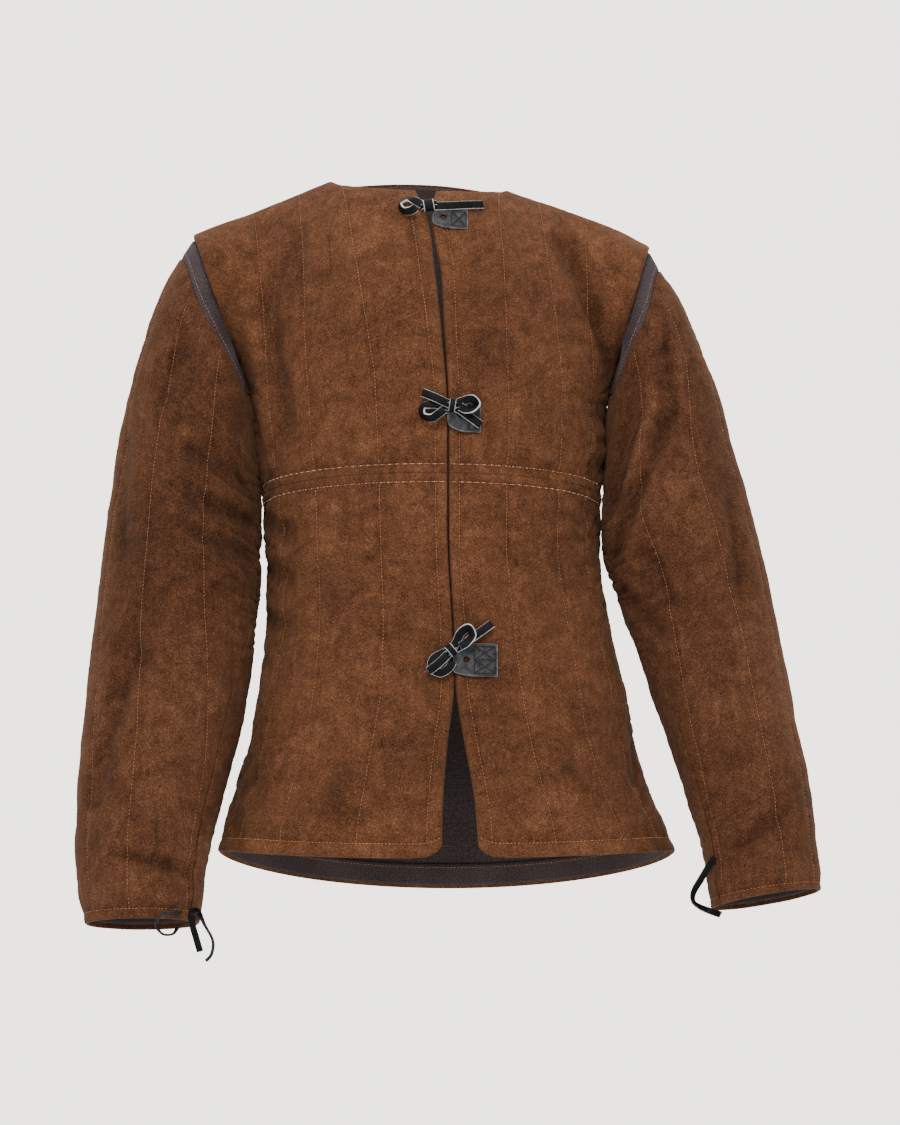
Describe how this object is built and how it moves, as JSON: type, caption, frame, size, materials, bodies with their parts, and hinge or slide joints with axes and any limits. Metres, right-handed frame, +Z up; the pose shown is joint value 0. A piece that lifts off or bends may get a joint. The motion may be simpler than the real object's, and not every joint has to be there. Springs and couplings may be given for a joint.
{
  "type": "padded suede arming jacket (gambeson)",
  "caption": "Hollow quilted suede arming jacket filled out as worn, with hanging sleeves, sewn waist seam, leather tabs and tied thongs down the front.",
  "frame": {"origin": "the point between the shoulders where a wearer carries the jacket, at the mean height of the shoulder seams", "axes": "+Z up, the front faces -Y, the wearer's right side is at -X"},
  "size_m": [0.7366, 0.2697, 0.8308],
  "materials": {
    "suede": "brown suede, matt nap, quilted",
    "band_canvas": "dark grey-brown canvas",
    "lining_canvas": "dark brown canvas",
    "tab_leather": "dark grey leather, smooth, pale cut edges",
    "thong_leather": "black leather thong"
  },
  "bodies": {
    "root": {"back_chest": "suede", "back_skirt": "suede", "cuff_lace_left": "thong_leather", "cuff_lace_right_a": "thong_leather", "cuff_lace_right_b": "thong_leather", "cuff_lining_left": "lining_canvas", "cuff_lining_right": "lining_canvas", "front_chest_left": "suede", "front_chest_right": "suede", "front_skirt_left": "suede", "front_skirt_right": "suede", "hem_facing": "lining_canvas", "lining_back": "lining_canvas", "lining_front_left": "lining_canvas", "lining_front_right": "lining_canvas", "sleeve_band_left": "band_canvas", "sleeve_band_right": "band_canvas", "sleeve_outer_left": "suede", "sleeve_outer_right": "suede", "sleeve_under_left": "suede", "sleeve_under_right": "suede", "tab_bottom": "tab_leather", "tab_middle": "tab_leather", "tab_top": "tab_leather", "tie_bottom_knot": "thong_leather", "tie_bottom_thong_a": "thong_leather", "tie_bottom_thong_b": "thong_leather", "tie_middle_knot": "thong_leather", "tie_middle_thong_a": "thong_leather", "tie_middle_thong_b": "thong_leather", "tie_top_knot": "thong_leather", "tie_top_thong": "thong_leather"}
  },
  "joints": []
}
